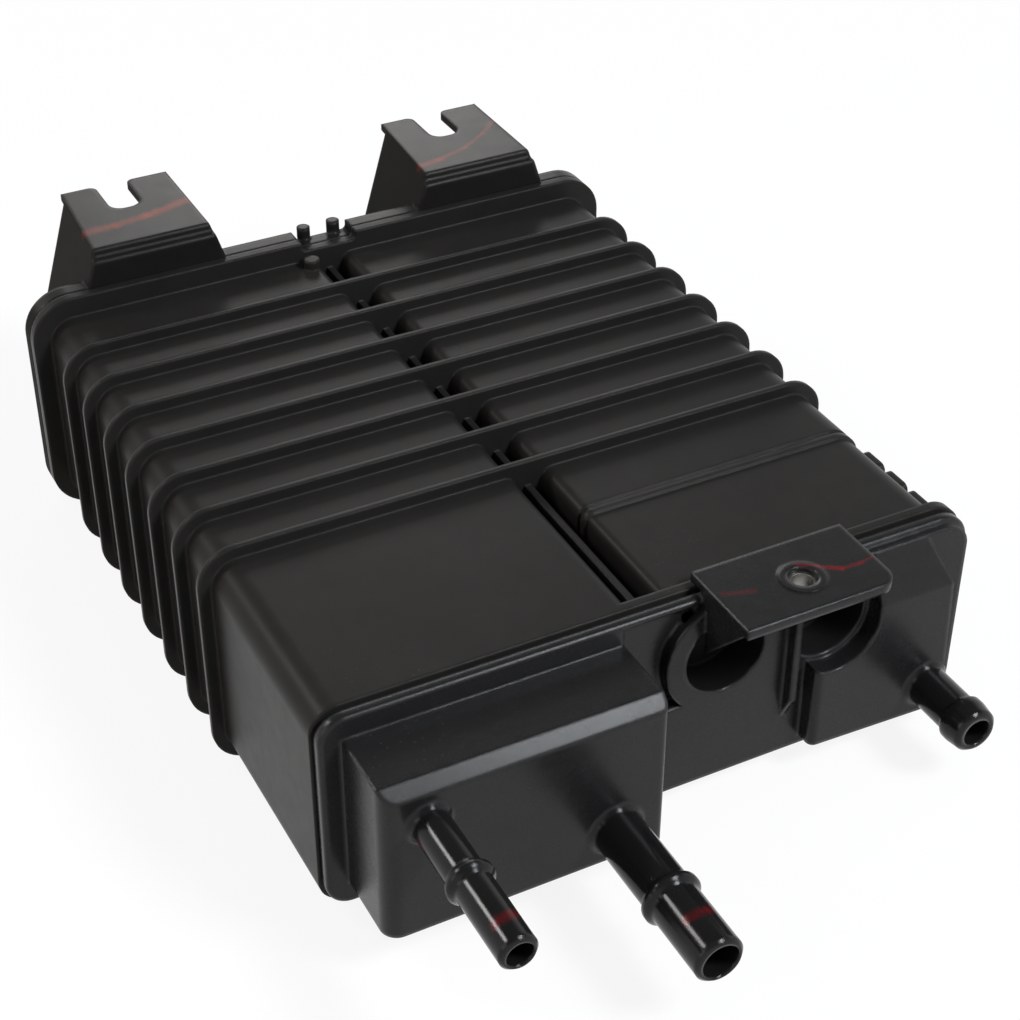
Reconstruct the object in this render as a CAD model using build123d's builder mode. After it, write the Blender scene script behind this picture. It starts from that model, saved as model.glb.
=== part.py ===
"""Charcoal canister for an engine's fuel vapour: ribbed two-chamber housing, ported covers and carbon beds.

Frame: X to the right along the ported front, Y to the rear, Z up, all in millimetres.
The origin lies under the middle of the whole part, on the surface that it rests on.
"""
import os

from build123d import *

os.makedirs("parts", exist_ok=True)

# Chambers of the housing
chamber_width = 104.3
chamber_height = 75.7
groove_width = 9.8
wall = 3.2
outer_corner = 9.0
groove_corner = 4.0
body_length = 240.5
web_thickness = 2.4
web_setback = 5.0

# Ribs round both chambers
rib_count = 7
rib_pitch = 22.0
rib_reach = 4.3
rib_thickness = 2.1
last_rib_to_rear = 31.5

# Low rib and step round the right chamber
step_depth = 1.0
step_length = 47.3
low_rib_thickness = 2.5
low_groove = 1.6

# Weld flanges
flange_reach = 6.5
rear_flange_rise = 7.6
rear_flange_thickness = 4.0
front_flange_thickness = 3.6
front_right_corner = 11.5
notch_width = 22.0
notch_depth = 3.5

# Lugs on the right wall and the small boss beside the groove
lug_count = 3
lug_pitch = 12.6
lug_length = 11.2
lug_reach = 2.4
lug_height = 20.0
lug_drop = 7.0
lug_corner = 2.5
first_lug = 9.0
boss_diameter = 6.0
boss_rise = 3.6
boss_to_groove = 4.6
boss_to_rear = 9.5

# Front cover
cover_wall = 2.6
cover_depth = 5.4
cover_foot_rise = 2.3
panel_depth = 8.0
panel_inset = 2.4
panel_foot_rise = 1.4
recess_radius = 21.0
recess_depth = 4.4
recess_reach = 15.0
weld_gap = 1.8
weld_inset = 2.4
lip_inset = 0.6
lip_edge = 1.2
seat_ring = 2.0

# Left port box
box_left = 7.5
box_to_groove = 5.8
box_drop = 8.3
box_height = 55.7
box_depth = 27.1
box_bevel = 4.0
box_left_corner = 5.5
box_right_corner = 2.0

# Spigots: the purge spigot is placed from the left wall, the tank spigot from the box's right side
purge_diameter = 11.8
purge_bore = 8.4
purge_bead = 15.0
purge_from_left = 21.5
purge_from_top = 22.5
purge_length = 54.5
purge_bead_to_tip = 29.0
tank_diameter = 15.8
tank_bore = 12.0
tank_bead = 19.0
tank_to_box_side = 16.5
tank_from_top = 52.0
tank_length = 58.5
tank_bead_to_tip = 26.8
bead_length = 4.8
tip_chamfer = 1.2
root_fillet = 1.6

# Right port box and its hose barb, placed from the right chamber's two walls
vent_from_groove = 49.7
vent_depth = 7.0
vent_bottom = 68.0
vent_foot_drop = 2.0
vent_slope_drop = 19.0
vent_top_inset = 12.7
vent_side_inset = 4.9
vent_foot_inset = 2.8
vent_corner = 2.5
vent_cut_rim = 1.8
barb_diameter = 14.0
barb_bore = 9.8
barb_ring = 16.6
barb_tip = 15.2
barb_from_right = 10.9
barb_from_top = 58.0
barb_length = 27.6
barb_ring_to_tip = 6.0
barb_ring_length = 2.4

# Mounting shelf, placed from the right chamber's left wall
shelf_from_groove = 11.4
shelf_width = 53.6
shelf_rise = 4.3
shelf_thickness = 3.3
shelf_front = 29.7
shelf_overlap = 2.3
shelf_corner = 6.0
gusset_thickness = 2.6
gusset_drop = 20.0
gusset_tip = 2.0
pillar_from_groove = 41.9
pillar_thickness = 2.2
pillar_reach = 4.5
pillar_drop = 57.0
pillar_run_out = 9.0
root_overlap = 1.0
sleeve_from_groove = 39.7
sleeve_from_front = 15.2
sleeve_diameter = 9.2
sleeve_bore = 6.8
sleeve_clearance = 0.05
sleeve_boss = 15.0
sleeve_boss_drop = 4.0
sleeve_boss_rise = 0.4
sleeve_sink = 1.6

# Round pockets under the shelf, placed from the right chamber's left wall
pocket_radius = 14.0
pocket_depth = 14.0
pocket_wall = 2.0
left_pocket_from_groove = 19.3
left_pocket_from_top = 23.2
right_pocket_from_groove = 56.1
right_pocket_from_top = 22.8

# Rear cover with its dome
rear_cover_flange = 6.3
dome_inset = 14.0
dome_depth = 22.0
dome_wall = 3.0
dome_corner = 12.0
dome_edge = 4.0
peg_diameter = 5.0
peg_spacing = 12.0
peg_rise = 1.0

# Hangers on the rear cover
hanger_width = 44.5
hanger_from_side = 21.0
hanger_rise = 20.8
hanger_thickness = 2.6
hanger_reach = 50.0
hanger_splay = 0.32
hanger_taper = 3.0
hanger_fold = 1.0
ledge_drop = 3.2
ledge_depth = 3.0
skirt_setback = 5.5
skirt_slope = 1.5
slot_width = 12.0
slot_depth = 21.0
slot_bottom_radius = 5.0
slot_mouth_radius = 3.0

# Inner pieces
fit_gap = 0.3
grid_thickness = 3.0
grid_bar = 2.6
grid_cell = 22.0
grid_rim = 4.0
fleece_thickness = 3.0
plate_to_rear = 14.0
leaf_half_span = 24.0
leaf_foot = 9.0
leaf_width = 20.0
leaf_thickness = 1.0
leaf_crown = 8.0

# Places worked out from the sizes above
pair_width = 2 * chamber_width + groove_width
left_wall = -pair_width / 2
right_wall = pair_width / 2
groove_right = groove_width / 2
chamber_offset = (chamber_width + groove_width) / 2
wall_bottom = rib_reach
wall_top = wall_bottom + chamber_height
chamber_mid = wall_bottom + chamber_height / 2
flange_top = wall_top + rear_flange_rise
tank_reach = cover_depth + box_depth + tank_length
rear_reach = body_length + hanger_reach
front_plane = (tank_reach - rear_reach) / 2
rear_plane = front_plane + body_length
rim_plane = front_plane - cover_depth
panel_plane = front_plane - panel_depth
box_face = rim_plane - box_depth
vent_face = panel_plane - vent_depth
cover_back = rear_plane + rear_cover_flange
dome_back = cover_back + dome_depth
hanger_back = rear_plane + hanger_reach
hanger_top = wall_top + hanger_rise
hanger_place = right_wall - hanger_from_side - hanger_width / 2
plate_bottom = hanger_top - hanger_thickness
ledge = hanger_top - ledge_drop
fold_end = rear_plane + ledge_depth + hanger_thickness
skirt_foot = wall_top - dome_inset - dome_wall / 2
shelf_top = wall_top + shelf_rise
shelf_tip = front_plane - shelf_front
shelf_start = groove_right + shelf_from_groove
pillar_start = groove_right + pillar_from_groove
sleeve_place = (groove_right + sleeve_from_groove, front_plane - sleeve_from_front)
sleeve_foot = shelf_top - shelf_thickness - sleeve_boss_drop
box_start = left_wall + box_left
box_right = left_wall + chamber_width - box_to_groove
vent_start = groove_right + vent_from_groove
vent_foot = wall_top - vent_bottom
purge_place = (left_wall + purge_from_left, wall_top - purge_from_top)
tank_place = (box_right - tank_to_box_side, wall_top - tank_from_top)
barb_place = (right_wall - barb_from_right, wall_top - barb_from_top)
left_pocket = (groove_right + left_pocket_from_groove, wall_top - left_pocket_from_top)
right_pocket = (groove_right + right_pocket_from_groove, wall_top - right_pocket_from_top)


def section_at(y):
    """Plane across the canister at y, with X to the right and Z up; a negative extrusion runs rearwards."""
    return Plane.XZ.offset(-y)


def side_at(x):
    """Plane along the canister at x, with Y to the right and Z up; an extrusion runs to the right."""
    return Plane.YZ.offset(x)


def chamber(side, inset=0.0):
    """Section of one chamber drawn in by inset: large corners outside, small ones at the groove."""
    outer = 0 if side < 0 else -1
    with BuildSketch() as outline:
        with Locations((side * chamber_offset, chamber_mid)):
            Rectangle(chamber_width - 2 * inset, chamber_height - 2 * inset)
        fillet(outline.vertices().group_by(Axis.X)[outer], max(outer_corner - inset, 1.0))
        fillet(outline.vertices().group_by(Axis.X)[-1 - outer], max(groove_corner - inset, 1.0))
    return outline.sketch


def ring_outline(reach, radius):
    """Rounded outline that stands out by reach all round both chambers."""
    with BuildSketch() as outline:
        with Locations((0, chamber_mid)):
            RectangleRounded(pair_width + 2 * reach, chamber_height + 2 * reach, radius)
    return outline.sketch


def front_outline(inset, foot_rise=0.0):
    """Outline of the front weld joint: flush with three walls, standing out at the right."""
    with BuildSketch() as outline:
        with Locations((flange_reach / 2, chamber_mid + foot_rise / 2)):
            Rectangle(pair_width + flange_reach - 2 * inset, chamber_height - 2 * inset - foot_rise)
        fillet(outline.vertices().group_by(Axis.X)[0], outer_corner - inset)
        fillet(outline.vertices().group_by(Axis.X)[-1], front_right_corner - inset)
    return outline.sketch


def rear_outline():
    """Outline of the rear weld flange: level with the ribs below, higher on top, with a dip over the groove."""
    with BuildSketch() as outline:
        with Locations((0, flange_top / 2)):
            RectangleRounded(pair_width + 2 * flange_reach, flange_top, outer_corner + flange_reach)
        with Locations((0, flange_top)):
            RectangleRounded(notch_width, 2 * notch_depth, notch_depth / 2, mode=Mode.SUBTRACT)
    return outline.sketch


def hanger_section(top, inset, taper=0.0):
    """Section of one hanger up to top: sides splay outwards going down; the left one is drawn in by taper too."""
    half_top = hanger_width / 2 + hanger_splay * (hanger_top - top) - inset
    half_foot = hanger_width / 2 + hanger_splay * (hanger_top - skirt_foot) - inset
    with BuildSketch() as outline:
        with BuildLine():
            Polyline((taper - half_foot, skirt_foot), (half_foot, skirt_foot), (half_top, top),
                     (taper - half_top, top), close=True)
        make_face()
    return outline.sketch


def cell_counts():
    """Columns and rows of square openings that fit inside the rim of a grid."""
    columns = int((chamber_width - 2 * (wall + grid_rim) + grid_bar) / grid_cell)
    rows = int((chamber_height - 2 * (wall + grid_rim) + grid_bar) / grid_cell)
    return columns, rows


# Housing: two chambers in one moulding
with BuildPart() as canister_body:
    with BuildSketch(section_at(front_plane)):
        add(chamber(-1))
        add(chamber(1))
    extrude(amount=-body_length)

    # The right chamber is slimmer ahead of its low rib, and again in the small groove behind that rib
    groove_start = front_plane + step_length + low_rib_thickness
    for start, length in ((front_plane, step_length), (groove_start, low_groove)):
        with BuildSketch(section_at(start)):
            add(chamber(1))
            add(chamber(1, step_depth), mode=Mode.SUBTRACT)
        extrude(amount=-length, mode=Mode.SUBTRACT)

    # Cross-shaped web in the groove
    with BuildSketch(section_at(front_plane)):
        with Locations((0, chamber_mid)):
            Rectangle(web_thickness, chamber_height - 2 * web_setback)
            Rectangle(groove_width + wall, web_thickness)
    extrude(amount=-body_length)

    # Ribs right round both chambers
    for index in range(rib_count):
        rib_start = rear_plane - last_rib_to_rear - index * rib_pitch - rib_thickness / 2
        with BuildSketch(section_at(rib_start)):
            add(ring_outline(rib_reach, outer_corner + rib_reach))
        extrude(amount=-rib_thickness)

    # Weld flanges
    with BuildSketch(section_at(rear_plane - rear_flange_thickness)):
        add(rear_outline())
    extrude(amount=-rear_flange_thickness)
    with BuildSketch(section_at(front_plane)):
        add(front_outline(0))
    extrude(amount=-front_flange_thickness)

    # Chamber bores, open at both ends
    with BuildSketch(section_at(front_plane)):
        add(chamber(-1, wall))
        add(chamber(1, wall))
    extrude(amount=-body_length, mode=Mode.SUBTRACT)

    # Lugs high on the right wall, ahead of the low rib
    for index in range(lug_count):
        lug_start = front_plane + first_lug + index * lug_pitch
        with BuildSketch(side_at(right_wall - step_depth - wall / 2)):
            with Locations((lug_start + lug_length / 2, wall_top - lug_drop - lug_height / 2)):
                RectangleRounded(lug_length, lug_height, lug_corner)
        extrude(amount=step_depth + wall / 2 + lug_reach)

    # Small round boss beside the groove
    with BuildSketch(Plane.XY.offset(wall_top - wall / 2)):
        with Locations((-groove_width / 2 - boss_to_groove, rear_plane - boss_to_rear)):
            Circle(boss_diameter / 2)
    extrude(amount=wall / 2 + boss_rise)

canister_body.part.label = "canister_body"
export_step(canister_body.part, "parts/canister_body.step")


def spigot_profile(root_y, place, radius, length, nose_radius, collar):
    """Half section of a round spigot that runs forwards from root_y; collar lists (distance, radius) from the tip."""
    with BuildSketch(Plane(origin=(place[0], root_y, place[1]), x_dir=(0, -1, 0), z_dir=(1, 0, 0))) as half:
        with BuildLine():
            Polyline((0, radius + root_fillet), (-cover_wall / 2, radius + root_fillet), (-cover_wall / 2, 0),
                     (length, 0), (length, nose_radius - tip_chamfer), (length - tip_chamfer, nose_radius),
                     *collar, (root_fillet, radius), close=True)
        make_face()
    return half.sketch


# Front cover: one moulding with port boxes, spigots, mounting shelf and pockets
with BuildPart() as front_cover:
    with BuildSketch(section_at(front_plane - weld_gap)):
        add(front_outline(weld_inset))
    extrude(amount=-weld_gap)
    with BuildSketch(section_at(rim_plane)):
        add(front_outline(lip_inset, cover_foot_rise))
    extrude(amount=-(cover_depth - weld_gap))
    fillet(front_cover.faces().sort_by(Axis.Y)[0].edges(), lip_edge)

    # Panel to the right of the left port box
    panel_right = right_wall + flange_reach - panel_inset
    with BuildSketch(section_at(panel_plane)) as panel:
        with Locations((box_right, wall_top - panel_inset)):
            Rectangle(panel_right - box_right, chamber_height - 2 * panel_inset - panel_foot_rise,
                      align=(Align.MIN, Align.MAX))
        fillet(panel.vertices().group_by(Axis.X)[-1], front_right_corner - panel_inset)
    extrude(amount=-(panel_depth - cover_depth / 2))

    # Recess between the left port box and the round wall of the left pocket
    with BuildSketch(section_at(panel_plane)):
        with Locations((box_right, wall_top - panel_inset)):
            Rectangle(left_pocket[0] - box_right, left_pocket_from_top - panel_inset + recess_reach,
                      align=(Align.MIN, Align.MAX))
        with Locations(left_pocket):
            Circle(recess_radius, mode=Mode.SUBTRACT)
    extrude(amount=-recess_depth, mode=Mode.SUBTRACT)

    # Left port box with its bevelled top
    with BuildSketch(side_at(box_start)) as box_side:
        with Locations((front_plane - weld_gap, wall_top - box_drop)):
            Rectangle(box_depth + cover_depth - weld_gap, box_height, align=(Align.MAX, Align.MAX))
        chamfer(box_side.vertices().sort_by(Axis.Y)[-2:].sort_by(Axis.X)[0], box_bevel)
    box_solid = extrude(amount=box_right - box_start)
    front_edges = box_solid.edges().filter_by(Axis.Z).group_by(Axis.Y)[0].sort_by(Axis.X)
    fillet(front_edges[0], box_left_corner)
    fillet(front_edges[-1], box_right_corner)

    # Right port box with leaning sides, sloping at the top and cut round the right pocket
    with BuildSketch(section_at(vent_face)):
        with BuildLine():
            Polyline((vent_start, vent_foot), (right_wall - vent_foot_inset, vent_foot - vent_foot_drop),
                     (right_wall - vent_side_inset, wall_top - vent_slope_drop),
                     (right_wall - vent_top_inset, wall_top - panel_inset),
                     (vent_start, wall_top - panel_inset), close=True)
        make_face()
    vent_solid = extrude(amount=-(vent_depth + cover_wall / 2))
    fillet(vent_solid.edges().filter_by(Axis.Z).group_by(Axis.Y)[0].sort_by(Axis.X)[0], vent_corner)
    with BuildSketch(side_at(vent_start)):
        with BuildLine():
            Polyline((panel_plane, wall_top - panel_inset), (vent_face, wall_top - vent_slope_drop),
                     (vent_face, wall_top - panel_inset), close=True)
        make_face()
    extrude(amount=right_wall - vent_start, mode=Mode.SUBTRACT)
    vent_cut = pocket_radius + vent_cut_rim
    with BuildSketch(section_at(vent_face)):
        with Locations(right_pocket):
            Circle(vent_cut)
            Rectangle(2 * vent_cut, 2 * vent_cut, align=(Align.CENTER, Align.MIN))
    extrude(amount=-vent_depth, mode=Mode.SUBTRACT)

    # Mounting shelf with the raised ring round its hole
    with BuildSketch(Plane.XY.offset(shelf_top - shelf_thickness)) as shelf:
        with Locations((shelf_start, front_plane + shelf_overlap)):
            Rectangle(shelf_width, shelf_front + shelf_overlap, align=(Align.MIN, Align.MAX))
        fillet(shelf.vertices().sort_by(Axis.Y)[:2].sort_by(Axis.X)[-1], shelf_corner)
    extrude(amount=shelf_thickness)
    with BuildSketch(Plane.XY.offset(sleeve_foot)):
        with Locations(sleeve_place):
            Circle(sleeve_boss / 2)
    extrude(amount=shelf_top + sleeve_boss_rise - sleeve_foot)

    # Left gusset and the rear tie that carry the shelf
    gusset_top = shelf_top - shelf_thickness / 2
    with BuildSketch(side_at(shelf_start)):
        with BuildLine():
            Polyline((panel_plane + root_overlap, gusset_top), (shelf_tip + gusset_tip, gusset_top),
                     (shelf_tip + gusset_tip, shelf_top - shelf_thickness), (panel_plane, wall_top - gusset_drop),
                     (panel_plane + root_overlap, wall_top - gusset_drop), close=True)
        make_face()
    extrude(amount=gusset_thickness)
    with BuildSketch(section_at(panel_plane)):
        with Locations((shelf_start + shelf_width / 2, gusset_top)):
            Rectangle(shelf_width, shelf_rise + 2 * panel_inset, align=(Align.CENTER, Align.MAX))
    extrude(amount=-panel_depth / 2)

    # Centre web, running out towards the bottom
    with BuildSketch(side_at(pillar_start)):
        with BuildLine():
            Polyline((panel_plane + root_overlap, shelf_top - shelf_thickness),
                     (panel_plane - pillar_reach, shelf_top - shelf_thickness),
                     (panel_plane - pillar_reach, wall_top - pillar_drop + pillar_run_out),
                     (panel_plane, wall_top - pillar_drop), (panel_plane + root_overlap, wall_top - pillar_drop),
                     close=True)
        make_face()
    extrude(amount=pillar_thickness)

    # Quick-connect spigots with their beads, turned about their axes
    for place, diameter, bead, to_tip, length in (
        (purge_place, purge_diameter, purge_bead, purge_bead_to_tip, purge_length),
        (tank_place, tank_diameter, tank_bead, tank_bead_to_tip, tank_length),
    ):
        bead_middle = length - to_tip
        bead_flat = (bead_length - bead + diameter) / 2
        add(spigot_profile(box_face, place, diameter / 2, length, diameter / 2, (
            (bead_middle + bead_length / 2, diameter / 2), (bead_middle + bead_flat, bead / 2),
            (bead_middle - bead_flat, bead / 2), (bead_middle - bead_length / 2, diameter / 2))))
        revolve(axis=Axis((place[0], box_face, place[1]), (0, -1, 0)))

    # Hose barb, tapering from its ring to the tip
    ring_front = barb_length - barb_ring_to_tip
    ring_back = ring_front - barb_ring_length
    add(spigot_profile(vent_face, barb_place, barb_diameter / 2, barb_length, barb_tip / 2, (
        (ring_front, barb_ring / 2), (ring_back, barb_ring / 2),
        (ring_back - (barb_ring - barb_diameter) / 2, barb_diameter / 2))))
    revolve(axis=Axis((barb_place[0], vent_face, barb_place[1]), (0, -1, 0)))

    # Space behind the left port box, parted by a baffle halfway between its two ports
    inner_bevel = box_bevel - (2 - 2 ** 0.5) * cover_wall
    baffle_place = (purge_place[0] + tank_place[0]) / 2
    for start, end in ((box_start + cover_wall, baffle_place - cover_wall / 2),
                       (baffle_place + cover_wall / 2, box_right - cover_wall)):
        with BuildSketch(side_at(start)) as space:
            with Locations((front_plane, wall_top - box_drop - cover_wall)):
                Rectangle(front_plane - box_face - cover_wall, box_height - 2 * cover_wall,
                          align=(Align.MAX, Align.MAX))
            chamfer(space.vertices().sort_by(Axis.Y)[-2:].sort_by(Axis.X)[0], inner_bevel)
        extrude(amount=end - start, mode=Mode.SUBTRACT)

    # Shallow space behind the rim of each chamber, and the space of the right port box
    with BuildSketch(section_at(rim_plane + cover_wall)):
        add(chamber(-1, wall + seat_ring))
    extrude(amount=-(cover_depth - cover_wall), mode=Mode.SUBTRACT)
    with BuildSketch(section_at(panel_plane + cover_wall)):
        add(chamber(1, wall + seat_ring))
    extrude(amount=-(panel_depth - cover_wall), mode=Mode.SUBTRACT)
    vent_space_left = right_pocket[0] + vent_cut + cover_wall
    vent_space_right = right_wall - vent_side_inset - cover_wall
    with BuildSketch(section_at(vent_face + cover_wall)):
        with Locations((vent_space_left, wall_top - vent_bottom + cover_wall)):
            Rectangle(vent_space_right - vent_space_left, vent_bottom - vent_slope_drop - 2 * cover_wall,
                      align=(Align.MIN, Align.MIN))
    extrude(amount=-(panel_depth + vent_depth - cover_wall), mode=Mode.SUBTRACT)

    # Round pockets: a cup behind the panel for each
    with BuildSketch(section_at(panel_plane)):
        with Locations(left_pocket, right_pocket):
            Circle(pocket_radius + pocket_wall)
    extrude(amount=-(pocket_depth + pocket_wall))
    with BuildSketch(section_at(panel_plane)):
        with Locations(left_pocket, right_pocket):
            Circle(pocket_radius)
    extrude(amount=-pocket_depth, mode=Mode.SUBTRACT)

    # Bores of the spigots, of the barb and of the shelf
    for place, bore, face, length in (
        (purge_place, purge_bore, box_face, purge_length),
        (tank_place, tank_bore, box_face, tank_length),
        (barb_place, barb_bore, vent_face, barb_length),
    ):
        with BuildSketch(section_at(face - length)):
            with Locations(place):
                Circle(bore / 2)
        extrude(amount=-(length + cover_wall), mode=Mode.SUBTRACT)
    with BuildSketch(Plane.XY.offset(sleeve_foot)):
        with Locations(sleeve_place):
            Circle(sleeve_diameter / 2 + sleeve_clearance)
    extrude(amount=shelf_top + sleeve_boss_rise - sleeve_foot, mode=Mode.SUBTRACT)

front_cover.part.label = "front_cover"
export_step(front_cover.part, "parts/front_cover.step")


# Compression sleeve, a little below the top of the hole in the shelf
with BuildPart() as mounting_sleeve:
    with BuildSketch(Plane.XY.offset(sleeve_foot)):
        with Locations(sleeve_place):
            Circle(sleeve_diameter / 2)
            Circle(sleeve_bore / 2, mode=Mode.SUBTRACT)
    extrude(amount=shelf_top + sleeve_boss_rise - sleeve_sink - sleeve_foot)

mounting_sleeve.part.label = "mounting_sleeve"
export_step(mounting_sleeve.part, "parts/mounting_sleeve.step")


# One hanger: a splayed channel, open below and to the rear, folded at its front, with a slotted top
with BuildPart() as hanger:
    with BuildSketch(side_at(-hanger_width)) as side_view:
        with BuildLine():
            Polyline((rear_plane, skirt_foot), (rear_plane, ledge), (rear_plane + ledge_depth, ledge),
                     (rear_plane + ledge_depth, hanger_top), (hanger_back - skirt_setback, hanger_top),
                     (hanger_back - skirt_setback - skirt_slope, skirt_foot), close=True)
        make_face()
        fillet(side_view.vertices().filter_by(lambda corner: corner.Y > plate_bottom - ledge_drop)
               .sort_by(Axis.X)[:3], hanger_fold)
    extrude(amount=2 * hanger_width)
    with BuildSketch(section_at(rear_plane)):
        add(hanger_section(hanger_top, 0))
    with BuildSketch(section_at(hanger_back)):
        add(hanger_section(hanger_top, 0, hanger_taper))
    loft(mode=Mode.INTERSECT)
    for hollow_front, hollow_top in (
        (rear_plane + hanger_thickness, ledge - hanger_thickness),
        (fold_end, plate_bottom),
    ):
        front_taper = hanger_taper * (hollow_front - rear_plane) / hanger_reach
        with BuildSketch(section_at(hollow_front)):
            add(hanger_section(hollow_top, hanger_thickness, front_taper))
        with BuildSketch(section_at(hanger_back)):
            add(hanger_section(hollow_top, hanger_thickness, hanger_taper))
        loft(mode=Mode.SUBTRACT)
    # Ends of the two prongs, then the slot between them
    prong_length = skirt_setback + hanger_thickness
    prong_left = hanger_taper - hanger_width / 2
    prong_root_left = prong_left - hanger_taper * prong_length / hanger_reach
    with BuildSketch(Plane.XY.offset(plate_bottom)) as prongs:
        with BuildLine():
            Polyline((prong_left, hanger_back), (hanger_width / 2, hanger_back),
                     (hanger_width / 2, hanger_back - prong_length),
                     (prong_root_left, hanger_back - prong_length), close=True)
        make_face()
        with Locations((0, hanger_back)):
            Rectangle(slot_width, prong_length, align=(Align.CENTER, Align.MAX), mode=Mode.SUBTRACT)
        tips = prongs.vertices().group_by(Axis.Y)[-1].sort_by(Axis.X)
        fillet(tips[1:-1], slot_mouth_radius)
    extrude(amount=hanger_thickness)
    with BuildSketch(Plane.XY.offset(plate_bottom)) as slot:
        with Locations((0, hanger_back)):
            Rectangle(slot_width, slot_depth, align=(Align.CENTER, Align.MAX))
        fillet(slot.vertices().group_by(Axis.Y)[0], slot_bottom_radius)
    extrude(amount=hanger_thickness, mode=Mode.SUBTRACT)


# Rear cover: flange, dome and the two slotted hangers
with BuildPart() as rear_cover:
    with BuildSketch(section_at(rear_plane)):
        add(rear_outline())
    extrude(amount=-rear_cover_flange)
    with BuildSketch(section_at(rear_plane)):
        add(ring_outline(-dome_inset, dome_corner))
    extrude(amount=-(rear_cover_flange + dome_depth))
    chamfer(rear_cover.faces().sort_by(Axis.Y)[-1].edges(), dome_edge)
    with Locations((-hanger_place, 0, 0), (hanger_place, 0, 0)):
        add(hanger.part)

    # Pegs in the dip over the groove
    with BuildSketch(Plane.XY.offset(wall_top - dome_inset - dome_wall / 2)):
        with Locations((0, cover_back)):
            with GridLocations(peg_spacing, peg_spacing, 2, 1):
                Circle(peg_diameter / 2)
    extrude(amount=dome_inset + dome_wall / 2 + rear_flange_rise + peg_rise)

    # Hollow of the dome
    with BuildSketch(section_at(rear_plane)):
        add(ring_outline(-dome_inset - dome_wall, dome_corner - dome_wall))
    extrude(amount=-(rear_cover_flange + dome_depth - dome_wall), mode=Mode.SUBTRACT)

rear_cover.part.label = "rear_cover"
export_step(rear_cover.part, "parts/rear_cover.step")


def slab(name, side, start, length):
    """Solid slab that fills one chamber from start over length, less the fitting gap."""
    with BuildPart() as piece:
        with BuildSketch(section_at(start)):
            add(chamber(side, wall + fit_gap))
        extrude(amount=-length)
    piece.part.label = name
    export_step(piece.part, f"parts/{name}.step")


def grid(name, side, start):
    """Plate with square openings across one chamber."""
    columns, rows = cell_counts()
    with BuildPart() as piece:
        with BuildSketch(section_at(start)):
            add(chamber(side, wall + fit_gap))
            with Locations((side * chamber_offset, chamber_mid)):
                with GridLocations(grid_cell, grid_cell, columns, rows):
                    Rectangle(grid_cell - grid_bar, grid_cell - grid_bar, mode=Mode.SUBTRACT)
        extrude(amount=-grid_thickness)
    piece.part.label = name
    export_step(piece.part, f"parts/{name}.step")


# Left chamber, from the front to its spring
plate_start = rear_plane - plate_to_rear
rear_fleece_start = plate_start - fleece_thickness
left_bed_start = front_plane + grid_thickness + fleece_thickness
grid("front_grid_left", -1, front_plane)
slab("front_fleece_left", -1, front_plane + grid_thickness, fleece_thickness)
slab("carbon_bed_left", -1, left_bed_start, rear_fleece_start - left_bed_start)
slab("rear_fleece_left", -1, rear_fleece_start, fleece_thickness)
grid("pressure_plate_left", -1, plate_start)

# Right chamber: its front grid rests on the pocket cups, and a divider stands at the low rib
right_grid_start = panel_plane + pocket_depth + pocket_wall
right_bed_start = right_grid_start + grid_thickness + fleece_thickness
divider_start = front_plane + step_length - fleece_thickness - grid_thickness / 2
rear_bed_start = divider_start + 2 * fleece_thickness + grid_thickness
grid("front_grid_right", 1, right_grid_start)
slab("front_fleece_right", 1, right_grid_start + grid_thickness, fleece_thickness)
slab("carbon_bed_right_front", 1, right_bed_start, divider_start - right_bed_start)
slab("divider_fleece_front", 1, divider_start, fleece_thickness)
grid("divider_grid", 1, divider_start + fleece_thickness)
slab("divider_fleece_rear", 1, rear_bed_start - fleece_thickness, fleece_thickness)
slab("carbon_bed_right_rear", 1, rear_bed_start, rear_fleece_start - rear_bed_start)
slab("rear_fleece_right", 1, rear_fleece_start, fleece_thickness)
grid("pressure_plate_right", 1, plate_start)

# Leaf springs that press the plates on to the beds: two feet on the plate, the crown against the dome
leaf_start = plate_start + grid_thickness + leaf_thickness / 2
leaf_end = dome_back - dome_wall - leaf_thickness / 2
for name, side in (("spring_left", -1), ("spring_right", 1)):
    middle = side * chamber_offset
    with BuildPart() as spring:
        with BuildSketch(Plane.XY.offset(chamber_mid - leaf_width / 2)):
            with BuildLine():
                Polyline((middle - leaf_half_span - leaf_foot, leaf_start), (middle - leaf_half_span, leaf_start),
                         (middle - leaf_crown, leaf_end), (middle + leaf_crown, leaf_end),
                         (middle + leaf_half_span, leaf_start), (middle + leaf_half_span + leaf_foot, leaf_start))
            trace(line_width=leaf_thickness)
        extrude(amount=leaf_width)
    spring.part.label = name
    export_step(spring.part, f"parts/{name}.step")
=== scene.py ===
"""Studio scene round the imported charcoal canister: satin black moulded plastic on a pale floor."""
import math

import bpy
from mathutils import Matrix, Vector


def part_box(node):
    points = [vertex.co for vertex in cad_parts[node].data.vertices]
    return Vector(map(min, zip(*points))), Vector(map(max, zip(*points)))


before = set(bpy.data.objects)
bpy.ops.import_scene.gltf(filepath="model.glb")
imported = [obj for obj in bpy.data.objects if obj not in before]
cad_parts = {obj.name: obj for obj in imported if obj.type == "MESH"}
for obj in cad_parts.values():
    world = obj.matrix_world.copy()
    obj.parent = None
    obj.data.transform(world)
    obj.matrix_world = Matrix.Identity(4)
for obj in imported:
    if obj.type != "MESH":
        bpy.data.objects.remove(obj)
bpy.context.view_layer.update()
MM = 0.001
FLOAT, COLOUR, VECTOR = "NodeSocketFloat", "NodeSocketColor", "NodeSocketVector"

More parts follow.
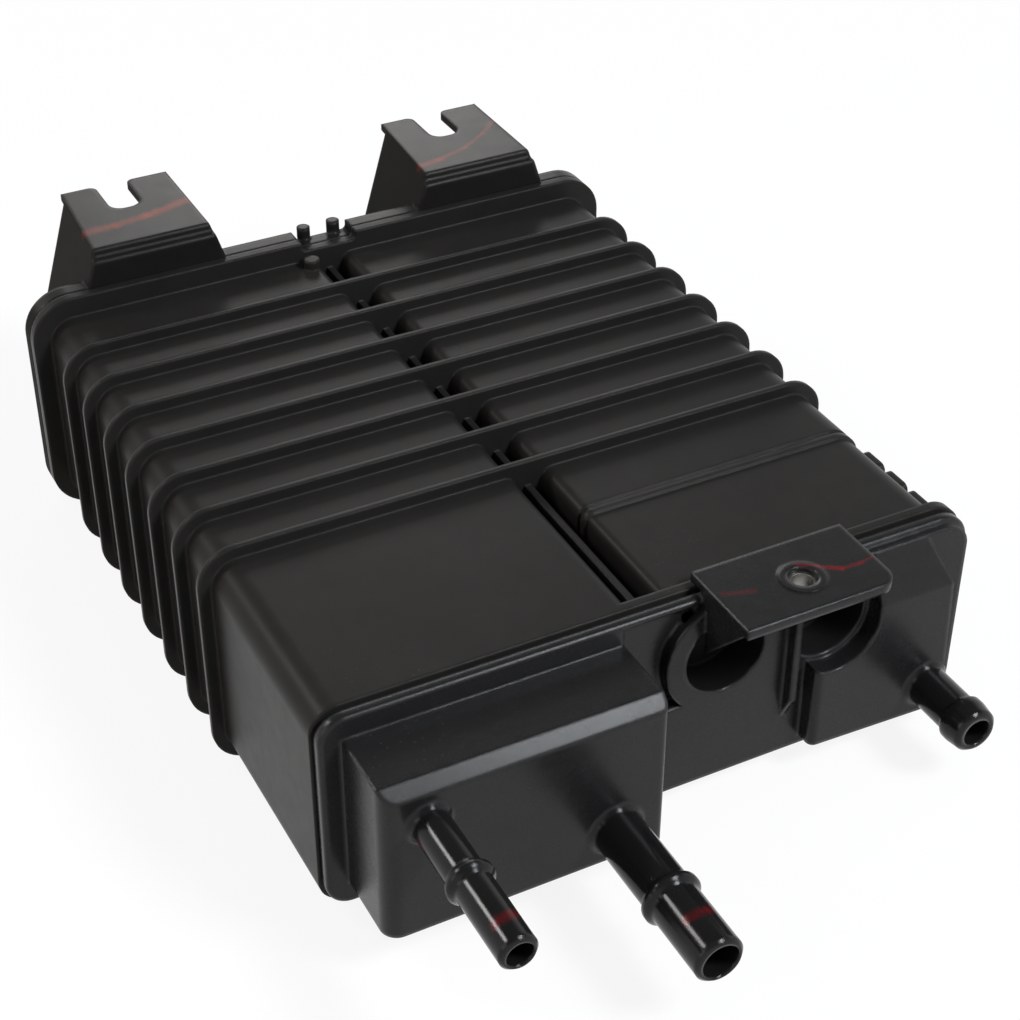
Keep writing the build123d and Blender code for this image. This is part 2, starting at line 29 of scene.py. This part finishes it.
# Camera of the photograph: turned round Z, raised, and a slight roll, all in degrees
CAMERA_AZIMUTH = -27.488
CAMERA_ELEVATION = 35.978
CAMERA_ROLL = -0.1985
CAMERA_PLACE = Vector((-262.1, -515.16, 469.25)) * MM
CAMERA_LENS = 74.33
SENSOR_WIDTH = 36
CLIP_NEAR, CLIP_FAR = 0.01, 20

# Places on the front cover: the faces of its boxes and its panel, measured from the tip of the longest
# spigot, and the top of its shelf, a little under the ring round the hole
COVER_LOW, COVER_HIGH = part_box("front_cover")
LEFT_BOX_FACE = COVER_LOW[1] + 58.5 * MM
RIGHT_BOX_FACE = COVER_LOW[1] + 76.0 * MM
PANEL_FACE = COVER_LOW[1] + 83.0 * MM
SHELF_TOP = COVER_HIGH[2] - 0.4 * MM
HANGER_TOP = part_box("rear_cover")[1][2]

# The two round pockets (across, up), how far inside them their painted shade is full, and the bounds of the
# barb
POCKETS = ((24.2 * MM, 56.8 * MM), (61.0 * MM, 57.2 * MM))
POCKET_RADIUS = 14.0 * MM
POCKET_SHADE = 6.0 * MM
BARB_LEFT, BARB_TOP = 86.0 * MM, 40.0 * MM

# Room between a mask's edge and the face or rim that it stops at
FACE_SLACK = 0.5 * MM
RIM_SLACK = 0.3 * MM

# Paints of the hand-made marks; the pink is a painted highlight on the red spigot bands and a painted
# reflection at one spigot root
ORANGE, RED, PINK_HIGHLIGHT = (0.21, 0.03, 0.012, 1), (0.16, 0.003, 0.006, 1), (0.38, 0.05, 0.07, 1)

# Floor: half its side in metres, its paint, and the least share of it that the camera sees as plain white
FLOOR_HALF = 15.0
FLOOR_PAINT = (0.86, 0.86, 0.86, 1)
FLOOR_WHITE = 0.88

# Backdrop: what lights the object, and how much darker its mirror image is overhead
WORLD_COLOUR, WORLD_STRENGTH = (0.9, 0.95, 1.0, 1), 0.35
OVERHEAD_DIM = 0.85

# Soft boxes: name, place, the point that it faces, side in metres, power in watts, colour
LAMPS = (
    ("back_box", (0.55, 1.55, 0.72), (0, 0.1, 0.08), 0.6, 4.2, (1.0, 0.99, 0.98)),
    ("left_back_box", (-1.05, 0.95, 1.1), (0, 0, 0.06), 0.35, 9.0, (1.0, 0.98, 0.95)),
    ("left_box", (-1.35, -0.2, 0.7), (0, 0, 0.04), 0.8, 5.0, (1.0, 0.95, 0.88)),
    ("top_front_box", (0.62, -0.95, 1.2), (0, 0, 0.04), 0.4, 26.0, (0.92, 0.96, 1.0)),
)


# Camera

def make_camera():
    """Camera whose axes follow from azimuth, elevation and roll; it looks along minus its back vector."""
    azimuth, elevation, roll = (math.radians(a) for a in (CAMERA_AZIMUTH, CAMERA_ELEVATION, CAMERA_ROLL))
    back = Vector((math.sin(azimuth) * math.cos(elevation), -math.cos(azimuth) * math.cos(elevation),
                   math.sin(elevation)))
    level = Vector((0, 0, 1)).cross(back).normalized()
    upright = back.cross(level)
    right = math.cos(roll) * level - math.sin(roll) * upright
    up = math.sin(roll) * level + math.cos(roll) * upright
    camera = bpy.data.objects.new("camera", bpy.data.cameras.new("camera"))
    camera.data.lens = CAMERA_LENS
    camera.data.sensor_width = SENSOR_WIDTH
    camera.data.clip_start, camera.data.clip_end = CLIP_NEAR, CLIP_FAR
    camera.matrix_world = Matrix((
        (right.x, up.x, back.x, CAMERA_PLACE.x), (right.y, up.y, back.y, CAMERA_PLACE.y),
        (right.z, up.z, back.z, CAMERA_PLACE.z), (0, 0, 0, 1)))
    bpy.context.scene.collection.objects.link(camera)
    bpy.context.scene.camera = camera


# Short ways to write shader nodes

def fill(tree, socket, value):
    """Gives a socket its value, or links another node's output to it."""
    if isinstance(value, bpy.types.NodeSocket):
        tree.links.new(value, socket)
    else:
        socket.default_value = value


def put(tree, kind, settings=None, **inputs):
    """New node of a tree. Settings are its properties; an input is a value or another node's output socket.

    An input is named by its label, with _ for a space, or by its number after an i.
    """
    made = tree.nodes.new(kind)
    for key, value in (settings or {}).items():
        setattr(made, key, value)
    for key, value in inputs.items():
        numbered = key[0] == "i" and key[1:].isdigit()
        fill(tree, made.inputs[int(key[1:]) if numbered else key.replace("_", " ")], value)
    return made


def maths(tree, operation, a, b=0.0, c=None, clamp=False):
    """Output of one Math node."""
    inputs = {"i0": a, "i1": b}
    if c is not None:
        inputs["i2"] = c
    return put(tree, "ShaderNodeMath", {"operation": operation, "use_clamp": clamp}, **inputs).outputs[0]


def product(tree, *values):
    """Product of two or more values."""
    total = values[0]
    for value in values[1:]:
        total = maths(tree, "MULTIPLY", total, value)
    return total


def spread(tree, share, low, high):
    """Value that goes in a straight line from low to high as the share goes from 0 to 1."""
    return maths(tree, "MULTIPLY_ADD", share, high - low, low)


def band(tree, value, low, high):
    """Share that goes from 0 to 1, with soft ends, as the value goes from low to high."""
    return put(tree, "ShaderNodeMapRange", {"interpolation_type": "SMOOTHSTEP"},
               i0=value, i1=low, i2=high, i3=0.0, i4=1.0).outputs[0]


def vector_maths(tree, operation, a, b=(0.0, 0.0, 0.0), out=0):
    """Output of one Vector Math node: 0 is the vector, 1 the value."""
    return put(tree, "ShaderNodeVectorMath", {"operation": operation}, i0=a, i1=b).outputs[out]


def dot(tree, a, b):
    """Dot product of two vectors."""
    return vector_maths(tree, "DOT_PRODUCT", a, b, 1)


def object_place(tree):
    """Place on the object, in metres."""
    return put(tree, "ShaderNodeTexCoord").outputs["Object"]


def parts_of(tree, vector):
    """The X, Y and Z outputs of a vector."""
    return put(tree, "ShaderNodeSeparateXYZ", i0=vector).outputs


def noise(tree, place, lumps, detail, roughness=0.5, distortion=0.0):
    """Value of a noise with so many lumps in a metre."""
    return put(tree, "ShaderNodeTexNoise", Vector=place, Scale=lumps, Detail=detail, Roughness=roughness,
               Distortion=distortion).outputs[0]


def mixed(tree, factor, a, b):
    """Colour mixed from a to b."""
    made = put(tree, "ShaderNodeMix", {"data_type": "RGBA"})
    for number, value in ((0, factor), (6, a), (7, b)):
        fill(tree, made.inputs[number], value)
    return made.outputs[2]


def shaded(tree, colour, tone):
    """Colour made lighter or darker by a tone, where 1 leaves it as it is."""
    return put(tree, "ShaderNodeHueSaturation", Value=tone, Color=colour).outputs[0]


def bumped(tree, height, strength, distance, **normal):
    """Normal bent by a height; distance is how high 1 stands, in metres."""
    made = put(tree, "ShaderNodeBump", Strength=strength, Distance=distance, Height=height, **normal)
    return made.outputs[0]


def new_group(name, inputs, outputs):
    """Empty node group with its sockets: inputs are (name, kind, default) each, outputs (name, kind)."""
    group = bpy.data.node_groups.new(name, "ShaderNodeTree")
    for label, kind, default in inputs:
        socket = group.interface.new_socket(label, in_out="INPUT", socket_type=kind)
        if default is not None:
            socket.default_value = default
    for label, kind in outputs:
        group.interface.new_socket(label, in_out="OUTPUT", socket_type=kind)
    return group, group.nodes.new("NodeGroupInput").outputs, group.nodes.new("NodeGroupOutput").inputs


def surface_group(name, inputs):
    """Empty node group that puts out a colour, a roughness and a normal."""
    return new_group(name, inputs, (("Colour", COLOUR), ("Roughness", FLOAT), ("Normal", VECTOR)))


# Effects, each a node group

def plastic_group():
    """Moulded plastic: broad tone changes, fine spark grain, rounded and rubbed edges, and settled dust."""
    group, given, out = surface_group(
        "moulded_plastic",
        (("Colour", COLOUR, (0.02, 0.02, 0.02, 1)), ("Rubbed", COLOUR, (0.09, 0.09, 0.09, 1)),
         ("Roughness", FLOAT, 0.4), ("Grain", FLOAT, 0.2), ("Edge radius", FLOAT, 0.0006),
         ("Dust", FLOAT, 0.1)))
    place = object_place(group)

    # An edge is where the rounded normal turns away from the true one; the band is of that angle's cosine
    normal = put(group, "ShaderNodeNewGeometry").outputs["Normal"]
    rounded = put(group, "ShaderNodeBevel", {"samples": 8}, Radius=given["Edge radius"]).outputs[0]
    edge = band(group, dot(group, rounded, normal), 0.995, 0.90)

    broad = noise(group, place, 16.0, 3.0, 0.6)
    cloudy = noise(group, place, 140.0, 5.0, 0.65)
    grain = noise(group, place, 2600.0, 2.0)
    specks = put(group, "ShaderNodeTexVoronoi", Vector=place, Scale=420.0).outputs[0]

    # Broad and cloudy tones in the colour, and a lighter one where edges are rubbed in patches
    tone = product(group, spread(group, broad, 0.75, 1.25), spread(group, cloudy, 0.85, 1.15))
    scuffed = product(group, edge, band(group, cloudy, 0.3, 0.75), 0.5)
    base = mixed(group, scuffed, shaded(group, given["Colour"], tone), given["Rubbed"])

    # Dust lies in specks, in some areas only, and on faces that look up
    upward = parts_of(group, normal)[2]
    settled = product(group, band(group, specks, 0.16, 0.05), band(group, broad, 0.45, 0.75),
                      band(group, upward, 0.1, 0.9), given["Dust"])
    group.links.new(mixed(group, settled, base, (0.35, 0.34, 0.32, 1)), out["Colour"])

    # Edges are a little smoother and dust is rougher; grain and a slow waviness bend the normal
    rough = maths(group, "ADD", given["Roughness"], spread(group, cloudy, -0.07, 0.07))
    rough = maths(group, "MULTIPLY_ADD", edge, -0.06, rough)
    group.links.new(maths(group, "MULTIPLY_ADD", settled, 0.3, rough, True), out["Roughness"])
    grained = bumped(group, grain, given["Grain"], 0.12 * MM, Normal=rounded)
    group.links.new(bumped(group, broad, 0.1, 1.2 * MM, Normal=grained), out["Normal"])
    return group


def metal_group():
    """Drawn or plated metal: fine lines along Z and soft stains."""
    group, given, out = surface_group(
        "plated_metal", (("Colour", COLOUR, (0.6, 0.6, 0.58, 1)), ("Roughness", FLOAT, 0.3)))
    place = object_place(group)
    stretched = put(group, "ShaderNodeMapping", Vector=place, Scale=(1.0, 1.0, 0.05)).outputs[0]
    lines = noise(group, stretched, 3200.0, 3.0)
    stains = noise(group, place, 260.0, 4.0)
    rounded = put(group, "ShaderNodeBevel", {"samples": 4}, Radius=0.3 * MM).outputs[0]
    group.links.new(shaded(group, given["Colour"], spread(group, stains, 0.65, 1.25)), out["Colour"])
    group.links.new(maths(group, "MULTIPLY_ADD", stains, 0.25, given["Roughness"], True), out["Roughness"])
    group.links.new(bumped(group, lines, 0.25, 0.1 * MM, Normal=rounded), out["Normal"])
    return group


def pellets_group():
    """Bed of pellets: rounded cells, each with its own tone, and painted shade that darkens each cell toward
    its rim and in the gaps.
    """
    group, given, out = surface_group(
        "pellets", (("Colour", COLOUR, (0.02, 0.02, 0.02, 1)), ("Size", FLOAT, 0.0022)))
    place = object_place(group)
    cells = put(group, "ShaderNodeTexVoronoi", Vector=place, Scale=maths(group, "DIVIDE", 1.0, given["Size"]))
    dome = band(group, cells.outputs["Distance"], 0.62, 0.05)
    own = put(group, "ShaderNodeSeparateColor", Color=cells.outputs["Color"]).outputs[0]
    fine = noise(group, place, 3000.0, 3.0)
    # Own tone for each cell, times painted shade that darkens toward each cell's rim and in the gaps
    tone = product(group, spread(group, own, 0.5, 1.4), spread(group, dome, 0.2, 1.0))
    group.links.new(shaded(group, given["Colour"], tone), out["Colour"])
    group.links.new(spread(group, fine, 0.6, 0.8), out["Roughness"])
    height = maths(group, "MULTIPLY_ADD", fine, 0.08, dome)
    group.links.new(bumped(group, height, 0.9, 0.9 * MM), out["Normal"])
    return group


def felt_group():
    """Needled felt: crossing fibres from two stretched noises, with small pits; painted shade darkens the
    pits and the gaps between fibres.
    """
    group, given, out = surface_group("needled_felt", (("Colour", COLOUR, (0.6, 0.6, 0.56, 1)),))
    place = object_place(group)
    fibres = []
    for turn in (0.5, 2.1):
        laid = put(group, "ShaderNodeMapping", Vector=place, Rotation=(0.3, turn, turn),
                   Scale=(1.0, 0.15, 0.08)).outputs[0]
        fibres.append(band(group, noise(group, laid, 5200.0, 2.0, distortion=0.8), 0.48, 0.62))
    pits = put(group, "ShaderNodeTexVoronoi", Vector=place, Scale=520.0).outputs[0]
    height = product(group, maths(group, "MAXIMUM", *fibres), band(group, pits, 0.02, 0.2))
    # Painted shade: the colour is darker where the fibre height is low, in pits and between fibres
    group.links.new(shaded(group, given["Colour"], spread(group, height, 0.68, 1.03)), out["Colour"])
    group.links.new(spread(group, height, 0.95, 0.85), out["Roughness"])
    group.links.new(bumped(group, height, 0.8, 0.4 * MM), out["Normal"])
    return group


def ports_group():
    """Masks of the front cover: 1 on the turned spigots and barb, and a painted shade mask that grows to 1
    with depth inside the two round pockets.
    """
    group, _, out = new_group("cover_ports", (), (("Spigots", FLOAT), ("Pocket shade", FLOAT)))
    x, y, z = parts_of(group, object_place(group))
    spigots = maths(group, "LESS_THAN", y, LEFT_BOX_FACE - FACE_SLACK)
    barb = product(group, maths(group, "LESS_THAN", y, RIGHT_BOX_FACE - FACE_SLACK),
                   maths(group, "GREATER_THAN", x, BARB_LEFT), maths(group, "LESS_THAN", z, BARB_TOP))
    group.links.new(maths(group, "MAXIMUM", spigots, barb), out["Spigots"])

    flat = put(group, "ShaderNodeCombineXYZ", i0=x, i1=0.0, i2=z).outputs[0]
    cups = []
    for across, up in POCKETS:
        away = vector_maths(group, "DISTANCE", flat, (across, 0.0, up), 1)
        cups.append(maths(group, "LESS_THAN", away, POCKET_RADIUS + RIM_SLACK))
    # Painted shade: starts just in front of the panel face and is full at POCKET_SHADE inside it
    behind = band(group, y, PANEL_FACE - 2 * FACE_SLACK, PANEL_FACE + POCKET_SHADE)
    group.links.new(product(group, maths(group, "MAXIMUM", *cups), behind), out["Pocket shade"])
    return group


def stroke_group():
    """Mask of one brush stroke: 1 near the straight line from Start to End, with a ragged and dry edge."""
    group, given, out = new_group(
        "paint_stroke",
        (("Start", VECTOR, None), ("End", VECTOR, None), ("Width", FLOAT, 0.001), ("Cover", FLOAT, 0.6)),
        (("Mask", FLOAT),))
    place = object_place(group)

    # Foot of the perpendicular from the place to the line, kept between its two ends
    along = vector_maths(group, "SUBTRACT", given["End"], given["Start"])
    away = vector_maths(group, "SUBTRACT", place, given["Start"])
    share = maths(group, "DIVIDE", dot(group, away, along), dot(group, along, along), clamp=True)
    foot = put(group, "ShaderNodeVectorMath", {"operation": "SCALE"}, i0=along, i3=share).outputs[0]
    gap = vector_maths(group, "DISTANCE", away, foot, 1)

    ragged = noise(group, place, 420.0, 4.0, 0.65)
    reach = product(group, given["Width"], spread(group, ragged, 0.2, 1.8))
    inside = band(group, maths(group, "DIVIDE", gap, reach), 1.25, 0.1)
    dry = noise(group, place, 1500.0, 3.0, 0.7)
    broken = spread(group, band(group, dry, 0.35, 0.65), 0.4, 1.0)
    group.links.new(product(group, inside, broken, given["Cover"]), out["Mask"])
    return group


PLASTIC, METAL, PELLETS, FELT = plastic_group(), metal_group(), pellets_group(), felt_group()
PORTS, STROKE = ports_group(), stroke_group()


# Paint marks: each stroke is (start, end, width, paint, cover), in metres; cover is how well the paint hides

def brushed(corners, widths, covers, paint):
    """Strokes along a line of corners given in millimetres, with a width and a cover for each stretch."""
    ends = [Vector(corner) * MM for corner in corners]
    return [(start, end, width * MM, paint, cover)
            for start, end, width, cover in zip(ends, ends[1:], widths, covers)]


def brushed_flat(height, corners, widths, covers, paint):
    """Strokes along a line of (x, y) corners in millimetres on a level face at this height."""
    return brushed([(x, y, height / MM) for x, y in corners], widths, covers, paint)


def cover_strokes():
    """Red marks across the shelf, a red band on each spigot whose start is a pink painted highlight, and a
    pink painted reflection at one root.
    """
    return (
        brushed_flat(SHELF_TOP, ((19.0, -111.2), (28.5, -113.9)), (1.3,), (0.3,), RED)
        + brushed_flat(
            SHELF_TOP, ((46.0, -108.9), (51.5, -112.6), (57.5, -116.6), (64.0, -117.0), (71.5, -115.4)),
            (1.0, 1.2, 1.0, 0.8), (0.8, 0.85, 0.6, 0.4), RED)
        # Pink painted highlight where the light catches each spigot's red band
        + brushed(((-91.0, -179.2, 62.3), (-90.9, -177.4, 62.3)), (1.3,), (0.55,), PINK_HIGHLIGHT)
        + brushed(((-89.4, -178.2, 63.2), (-85.3, -177.4, 62.9), (-83.0, -176.6, 61.0)),
                  (2.2, 1.8), (0.55, 0.4), RED)
        + brushed(((-31.6, -179.3, 34.6), (-31.5, -177.6, 34.7)), (1.4,), (0.55,), PINK_HIGHLIGHT)
        + brushed(((-29.7, -178.5, 35.5), (-24.6, -178.2, 35.5), (-21.5, -177.5, 33.6)),
                  (2.2, 1.8), (0.5, 0.4), RED)
        # Pink painted reflection of bounced light on the lower left of one spigot root
        + brushed(((-93.6, -137.5, 57.2), (-93.4, -140.5, 57.4)), (1.2,), (0.3,), PINK_HIGHLIGHT))


def hanger_strokes():
    """One orange line across the top of each hanger."""
    return (
        brushed_flat(HANGER_TOP, ((-86.5, 157.6), (-75.0, 158.2), (-62.0, 160.0), (-43.6, 165.5)),
                     (3.0, 2.6, 3.0), (0.6, 0.6, 0.75), ORANGE)
        + brushed_flat(
            HANGER_TOP, ((42.4, 150.0), (54.0, 152.2), (67.0, 157.0), (79.0, 165.0), (88.5, 174.0)),
            (2.6, 1.6, 1.2, 1.4), (0.65, 0.5, 0.5, 0.5), ORANGE))


# Materials

def finish_material(name, group, settings, constants, strokes=()):
    """Material with one Principled shader fed by a group, with the strokes painted over the group's colour.

    The settings go to the group and the constants to the shader.
    """
    material = bpy.data.materials.new(name)
    material.use_nodes = True
    tree = material.node_tree
    shader = tree.nodes["Principled BSDF"]
    for key, value in constants.items():
        shader.inputs[key].default_value = value
    effect = tree.nodes.new("ShaderNodeGroup")
    effect.node_tree = group
    for key, value in settings.items():
        effect.inputs[key].default_value = value
    colour = effect.outputs["Colour"]
    for start, end, width, paint, cover in strokes:
        mask = tree.nodes.new("ShaderNodeGroup")
        mask.node_tree = STROKE
        for key, value in (("Start", start), ("End", end), ("Width", width), ("Cover", cover)):
            mask.inputs[key].default_value = value
        colour = mixed(tree, mask.outputs["Mask"], colour, paint)
    tree.links.new(colour, shader.inputs["Base Color"])
    tree.links.new(effect.outputs["Roughness"], shader.inputs["Roughness"])
    tree.links.new(effect.outputs["Normal"], shader.inputs["Normal"])
    return material


def linked(shader, label):
    """The output socket that feeds an input of a shader."""
    return shader.inputs[label].links[0].from_socket


def polish_ports(material):
    """Makes the spigots and the barb darker and glossier than their cover, and paints shade inside the
    pockets, which are also made matt.
    """
    tree = material.node_tree
    shader = tree.nodes["Principled BSDF"]
    masks = tree.nodes.new("ShaderNodeGroup")
    masks.node_tree = PORTS
    spigots, pockets = masks.outputs["Spigots"], masks.outputs["Pocket shade"]
    # Painted shade: the colour inside the pockets goes down to a fifth with depth
    tone = maths(tree, "MULTIPLY_ADD", spigots, -0.3, spread(tree, pockets, 1.0, 0.2))
    tree.links.new(shaded(tree, linked(shader, "Base Color"), tone), shader.inputs["Base Color"])
    rough = maths(tree, "MULTIPLY_ADD", spigots, -0.12, linked(shader, "Roughness"), True)
    tree.links.new(maths(tree, "MULTIPLY_ADD", pockets, 0.5, rough, True), shader.inputs["Roughness"])


def dull_and_shade_skirts(material):
    """Makes the faces that look sideways rougher, as the textured skirts of the hangers are, and darker with
    painted shade.
    """
    tree = material.node_tree
    shader = tree.nodes["Principled BSDF"]
    across = parts_of(tree, put(tree, "ShaderNodeNewGeometry").outputs["Normal"])[0]
    skirts = band(tree, maths(tree, "ABSOLUTE", across), 0.6, 0.85)
    # Painted shade: faces that look sideways are darkened to seven tenths
    painted_skirt_shade = shaded(tree, linked(shader, "Base Color"), spread(tree, skirts, 1.0, 0.7))
    tree.links.new(painted_skirt_shade, shader.inputs["Base Color"])
    rough = maths(tree, "MULTIPLY_ADD", skirts, 0.5, linked(shader, "Roughness"), True)
    tree.links.new(rough, shader.inputs["Roughness"])


def housing_plastic():
    """Warm black, satin, with little gloss."""
    return finish_material(
        "housing_plastic", PLASTIC,
        {"Colour": (0.0153, 0.0144, 0.0136, 1), "Rubbed": (0.03, 0.028, 0.027, 1),
         "Roughness": 0.36, "Grain": 0.2, "Edge radius": 1.5 * MM, "Dust": 0.08},
        {"Specular IOR Level": 0.08, "Specular Tint": (1.0, 0.96, 0.9, 1.0)})


def front_cover_plastic():
    """Neutral black, glossier than the housing, with polished spigots and paint marks."""
    material = finish_material(
        "front_cover_plastic", PLASTIC,
        {"Colour": (0.0105, 0.0103, 0.0105, 1), "Rubbed": (0.04, 0.04, 0.042, 1),
         "Roughness": 0.27, "Grain": 0.14, "Edge radius": 2.0 * MM, "Dust": 0.08},
        {"Specular IOR Level": 0.2}, cover_strokes())
    polish_ports(material)
    return material


def rear_cover_plastic():
    """Black between the other two, with matt skirts darkened by painted shade, and an orange line on each
    hanger.
    """
    material = finish_material(
        "rear_cover_plastic", PLASTIC,
        {"Colour": (0.0105, 0.0098, 0.0092, 1), "Rubbed": (0.03, 0.028, 0.027, 1),
         "Roughness": 0.32, "Grain": 0.16, "Edge radius": 2.2 * MM, "Dust": 0.08},
        {"Specular IOR Level": 0.12, "Specular Tint": (1.0, 0.97, 0.93, 1.0)}, hanger_strokes())
    dull_and_shade_skirts(material)
    return material


def grid_plastic():
    """Dark grey plastic of the perforated plates."""
    return finish_material(
        "grid_plastic", PLASTIC,
        {"Colour": (0.05, 0.05, 0.053, 1), "Rubbed": (0.12, 0.12, 0.12, 1),
         "Roughness": 0.45, "Grain": 0.3, "Edge radius": 0.3 * MM, "Dust": 0.0},
        {"Specular IOR Level": 0.45})


def zinc_plate():
    """Dull zinc on the sleeve in the shelf."""
    return finish_material(
        "zinc_plate", METAL, {"Colour": (0.3, 0.29, 0.27, 1), "Roughness": 0.3}, {"Metallic": 1.0})


def spring_steel():
    """Bright steel of the leaf springs."""
    return finish_material(
        "spring_steel", METAL, {"Colour": (0.5, 0.5, 0.51, 1), "Roughness": 0.2}, {"Metallic": 1.0})


def carbon_pellets():
    """Loose carbon pellets, a little over 2 mm across."""
    return finish_material(
        "carbon_pellets", PELLETS, {"Colour": (0.03, 0.03, 0.031, 1), "Size": 2.2 * MM}, {})


def needled_felt():
    """Off-white felt of the filter pads."""
    return finish_material(
        "needled_felt", FELT, {"Colour": (0.62, 0.61, 0.57, 1)},
        {"Specular IOR Level": 0.2, "Sheen Weight": 0.3, "Sheen Roughness": 0.5})


def dress(material, *names):
    """Gives the material to every slot of the named CAD nodes."""
    for name in names:
        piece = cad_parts[name]
        if not piece.material_slots:
            piece.data.materials.append(material)
        for slot in piece.material_slots:
            slot.material = material


# Studio

def make_world():
    """White backdrop that greys overhead in reflections, and a plain light on everything else."""
    world = bpy.data.worlds.new("studio")
    bpy.context.scene.world = world
    world.use_nodes = True
    tree = world.node_tree
    tree.nodes.clear()
    path = put(tree, "ShaderNodeLightPath").outputs
    mirrored = maths(tree, "MAXIMUM", path["Is Glossy Ray"], path["Is Transmission Ray"])
    seen = maths(tree, "MAXIMUM", path["Is Camera Ray"], mirrored)
    light = put(tree, "ShaderNodeBackground", Color=WORLD_COLOUR, Strength=WORLD_STRENGTH)
    height = parts_of(tree, put(tree, "ShaderNodeTexCoord").outputs["Object"])[2]
    overhead = spread(tree, band(tree, height, 0.4, 0.66), 1.0, 1.0 - OVERHEAD_DIM)
    overhead = maths(tree, "MAXIMUM", overhead, path["Is Camera Ray"])
    white = put(tree, "ShaderNodeBackground", Color=(1, 1, 1, 1), Strength=overhead)
    both = put(tree, "ShaderNodeMixShader", i0=seen, i1=light.outputs[0], i2=white.outputs[0])
    tree.links.new(both.outputs[0], put(tree, "ShaderNodeOutputWorld").inputs[0])


def make_floor():
    """Pale floor on z 0 that keeps the shadow; camera and mirror rays see it nearly white, whiter far off."""
    mesh = bpy.data.meshes.new("floor")
    corners = [(x * FLOOR_HALF, y * FLOOR_HALF, 0) for x, y in ((-1, -1), (1, -1), (1, 1), (-1, 1))]
    mesh.from_pydata(corners, [], [(0, 1, 2, 3)])
    floor = bpy.data.objects.new("floor", mesh)
    bpy.context.scene.collection.objects.link(floor)
    material = bpy.data.materials.new("floor_paint")
    material.use_nodes = True
    tree = material.node_tree
    tree.nodes.clear()
    path = put(tree, "ShaderNodeLightPath").outputs
    seen = maths(tree, "MAXIMUM", path["Is Camera Ray"], path["Is Glossy Ray"])
    away = vector_maths(tree, "LENGTH", object_place(tree), out=1)
    share = spread(tree, band(tree, away, 0.5, 1.5), FLOOR_WHITE, 1.0)
    matt = put(tree, "ShaderNodeBsdfDiffuse", Color=FLOOR_PAINT)
    white = put(tree, "ShaderNodeEmission", Color=(1, 1, 1, 1), Strength=1.0)
    factor = product(tree, seen, share)
    both = put(tree, "ShaderNodeMixShader", i0=factor, i1=matt.outputs[0], i2=white.outputs[0])
    tree.links.new(both.outputs[0], put(tree, "ShaderNodeOutputMaterial").inputs[0])
    mesh.materials.append(material)


def area_light(name, place, target, size, power, colour):
    """Square soft box that faces a point."""
    lamp = bpy.data.lights.new(name, "AREA")
    lamp.shape, lamp.size, lamp.energy, lamp.color = "SQUARE", size, power, colour
    holder = bpy.data.objects.new(name, lamp)
    holder.location = place
    holder.rotation_mode = "QUATERNION"
    holder.rotation_quaternion = (Vector(target) - Vector(place)).to_track_quat("-Z", "Y")
    bpy.context.scene.collection.objects.link(holder)


make_camera()
dress(housing_plastic(), "canister_body")
dress(front_cover_plastic(), "front_cover")
dress(rear_cover_plastic(), "rear_cover")
dress(zinc_plate(), "mounting_sleeve")
dress(spring_steel(), "spring_left", "spring_right")
dress(carbon_pellets(), "carbon_bed_left", "carbon_bed_right_front", "carbon_bed_right_rear")
dress(needled_felt(), "front_fleece_left", "rear_fleece_left", "front_fleece_right", "rear_fleece_right",
      "divider_fleece_front", "divider_fleece_rear")
dress(grid_plastic(), "front_grid_left", "front_grid_right", "divider_grid", "pressure_plate_left",
      "pressure_plate_right")
make_world()
make_floor()
for lamp_values in LAMPS:
    area_light(*lamp_values)
bpy.context.scene.view_settings.view_transform = "Standard"
